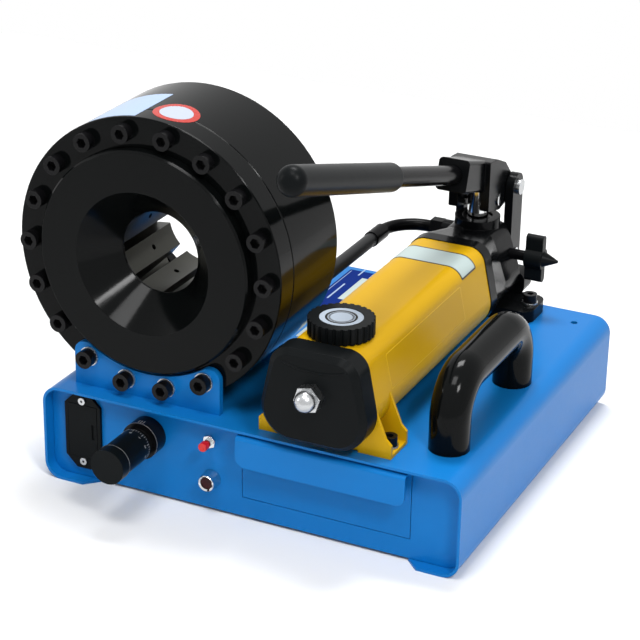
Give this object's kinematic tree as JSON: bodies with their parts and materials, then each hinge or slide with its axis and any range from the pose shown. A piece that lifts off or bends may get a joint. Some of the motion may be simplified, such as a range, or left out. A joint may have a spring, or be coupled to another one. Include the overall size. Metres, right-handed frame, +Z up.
{
  "type": "hose crimping machine",
  "caption": "Bench hose crimper: round head with wedge-driven dies and a funnel mouth, hand lever pump, sheet cabinet with drawer, adjuster and carrying handle.",
  "frame": {"origin": "middle of the bounding box in plan, at the bench under the cabinet's two folded feet", "axes": "-Y towards the operator, +X to the operator's right, +Z up; the crimp axis runs along Y"},
  "size_m": [0.428, 0.4478, 0.3554],
  "materials": {
    "cabinet_paint": "satin powder coat",
    "head_enamel": "high gloss black enamel",
    "cast_black": "gloss black paint over casting",
    "tank_paint": "gloss yellow enamel",
    "cap_plastic": "satin black moulding",
    "grip_plastic": "satin black moulding",
    "pale_plastic": "satin pale grey",
    "knob_black": "satin black anodised",
    "oxide_steel": "black oxide",
    "die_steel": "dark hardened steel, ground faces",
    "ground_steel": "ground",
    "zinc_steel": "bright zinc plate",
    "bright_chrome": "polished",
    "hose_rubber": "satin",
    "seal_rubber": "matt",
    "battery_wrap": "satin wrap",
    "button_red": "gloss red",
    "lens_red": "dark red translucent"
  },
  "bodies": {
    "machine": {"adjuster_nut": "zinc_steel", "adjuster_sleeve": "oxide_steel", "base_shell": "cabinet_paint", "battery_box": "cap_plastic", "battery_rivets": "zinc_steel", "bracket_bolts": "oxide_steel", "button_bushing": "bright_chrome", "cap_nut": "zinc_steel", "carry_handle": "head_enamel", "drawer_runners": "cabinet_paint", "flange_bolts": "oxide_steel", "front_flange": "head_enamel", "front_panel": "cabinet_paint", "gland_nut": "oxide_steel", "handle_bolts": "zinc_steel", "head_barrel": "head_enamel", "head_bracket_front": "cabinet_paint", "head_bracket_rear": "cabinet_paint", "hose": "hose_rubber", "hose_fittings": "zinc_steel", "lamp_bezel": "bright_chrome", "lamp_lens": "lens_red", "lever_pivot_pin": "zinc_steel", "link_foot_pin": "bright_chrome", "nose_disc": "head_enamel", "pump_bolts": "oxide_steel", "pump_front_cap": "cap_plastic", "pump_head": "cast_black", "pump_tank": "tank_paint", "rear_links": "cast_black", "rear_panel": "cabinet_paint", "relief_plug": "bright_chrome", "tank_foot": "tank_paint", "tie_rod": "ground_steel", "washers": "zinc_steel"},
    "ram": {"piston": "ground_steel", "piston_seals": "seal_rubber"},
    "lever": {"lever_yoke": "cast_black", "lever_bar": "head_enamel", "lever_grip": "grip_plastic"},
    "pump_plunger": {"plunger": "bright_chrome", "plunger_pin": "bright_chrome"},
    "release_valve": {"release_stem": "zinc_steel", "release_knob": "grip_plastic"},
    "filler": {"filler_cap": "cap_plastic", "filler_cap_disc": "pale_plastic"},
    "drawer_slide": {"drawer": "cabinet_paint"},
    "battery_slide": {"battery_tray": "cap_plastic", "battery": "battery_wrap"},
    "adjuster_feed": {"adjuster_spindle": "ground_steel"},
    "adjuster_thimble": {"adjuster_knob": "knob_black"},
    "start_button": {"push_button": "button_red"},
    "die_1_slide": {"die_1": "die_steel"},
    "die_2_slide": {"die_2": "die_steel"},
    "die_3_slide": {"die_3": "die_steel"},
    "die_4_slide": {"die_4": "die_steel"},
    "die_5_slide": {"die_5": "die_steel"},
    "die_6_slide": {"die_6": "die_steel"},
    "die_7_slide": {"die_7": "die_steel"},
    "die_8_slide": {"die_8": "die_steel"}
  },
  "joints": [
    {"name": "ram_stroke", "type": "slide", "parent": "machine", "child": "ram", "axis": [0, -1, 0], "range_m": [0, 0.023]},
    {"name": "die_1_travel", "type": "slide", "parent": "machine", "child": "die_1_slide", "axis": [-0.2874, 0, -0.9578], "range_m": [0, 0.0093]},
    {"name": "die_2_travel", "type": "slide", "parent": "machine", "child": "die_2_slide", "axis": [-0.8805, 0, -0.4741], "range_m": [0, 0.0093]},
    {"name": "die_3_travel", "type": "slide", "parent": "machine", "child": "die_3_slide", "axis": [-0.9578, 0, 0.2874], "range_m": [0, 0.0093]},
    {"name": "die_4_travel", "type": "slide", "parent": "machine", "child": "die_4_slide", "axis": [-0.4741, 0, 0.8805], "range_m": [0, 0.0093]},
    {"name": "die_5_travel", "type": "slide", "parent": "machine", "child": "die_5_slide", "axis": [0.2874, 0, 0.9578], "range_m": [0, 0.0093]},
    {"name": "die_6_travel", "type": "slide", "parent": "machine", "child": "die_6_slide", "axis": [0.8805, 0, 0.4741], "range_m": [0, 0.0093]},
    {"name": "die_7_travel", "type": "slide", "parent": "machine", "child": "die_7_slide", "axis": [0.9578, 0, -0.2874], "range_m": [0, 0.0093]},
    {"name": "die_8_travel", "type": "slide", "parent": "machine", "child": "die_8_slide", "axis": [0.4741, 0, -0.8805], "range_m": [0, 0.0093]},
    {"name": "lever_swing", "type": "hinge", "parent": "machine", "child": "lever", "pos_m": [0.085, 0.211, 0.2054], "axis": [-1, 0, 0], "range_deg": [-10, 30]},
    {"name": "plunger_stroke", "type": "slide", "parent": "machine", "child": "pump_plunger", "axis": [0, 0, 1], "range_m": [-0.0053, 0.0158]},
    {"name": "release_turn", "type": "hinge", "parent": "machine", "child": "release_valve", "pos_m": [0.134, 0.188, 0.1464], "axis": [1, 0, 0], "range_deg": [0, 300]},
    {"name": "filler_turn", "type": "hinge", "parent": "machine", "child": "filler", "pos_m": [0.085, -0.119, 0.19], "axis": [0, 0, 1], "range_deg": [0, 360]},
    {"name": "drawer_pull", "type": "slide", "parent": "machine", "child": "drawer_slide", "axis": [0, -1, 0], "range_m": [0, 0.12]},
    {"name": "battery_pull", "type": "slide", "parent": "machine", "child": "battery_slide", "axis": [0, -1, 0], "range_m": [0, 0.022]},
    {"name": "adjuster_travel", "type": "slide", "parent": "machine", "child": "adjuster_feed", "axis": [0, 1, 0], "range_m": [0, 0.006]},
    {"name": "adjuster_turn", "type": "hinge", "parent": "adjuster_feed", "child": "adjuster_thimble", "pos_m": [-0.0828, -0.18, 0.06], "axis": [0, 1, 0], "range_deg": [0, 1441]},
    {"name": "button_press", "type": "slide", "parent": "machine", "child": "start_button", "axis": [0, 1, 0], "range_m": [0, 0.0025], "stiffness_N_per_m": 400}
  ],
  "couplings": [
    {"joint": "die_1_travel", "follows": "ram_stroke", "ratio": 0.40403},
    {"joint": "die_2_travel", "follows": "ram_stroke", "ratio": 0.40403},
    {"joint": "die_3_travel", "follows": "ram_stroke", "ratio": 0.40403},
    {"joint": "die_4_travel", "follows": "ram_stroke", "ratio": 0.40403},
    {"joint": "die_5_travel", "follows": "ram_stroke", "ratio": 0.40403},
    {"joint": "die_6_travel", "follows": "ram_stroke", "ratio": 0.40403},
    {"joint": "die_7_travel", "follows": "ram_stroke", "ratio": 0.40403},
    {"joint": "die_8_travel", "follows": "ram_stroke", "ratio": 0.40403},
    {"joint": "plunger_stroke", "follows": "lever_swing", "m_per_rad": 0.02975},
    {"joint": "adjuster_turn", "follows": "adjuster_travel", "rad_per_m": 4188.8}
  ]
}
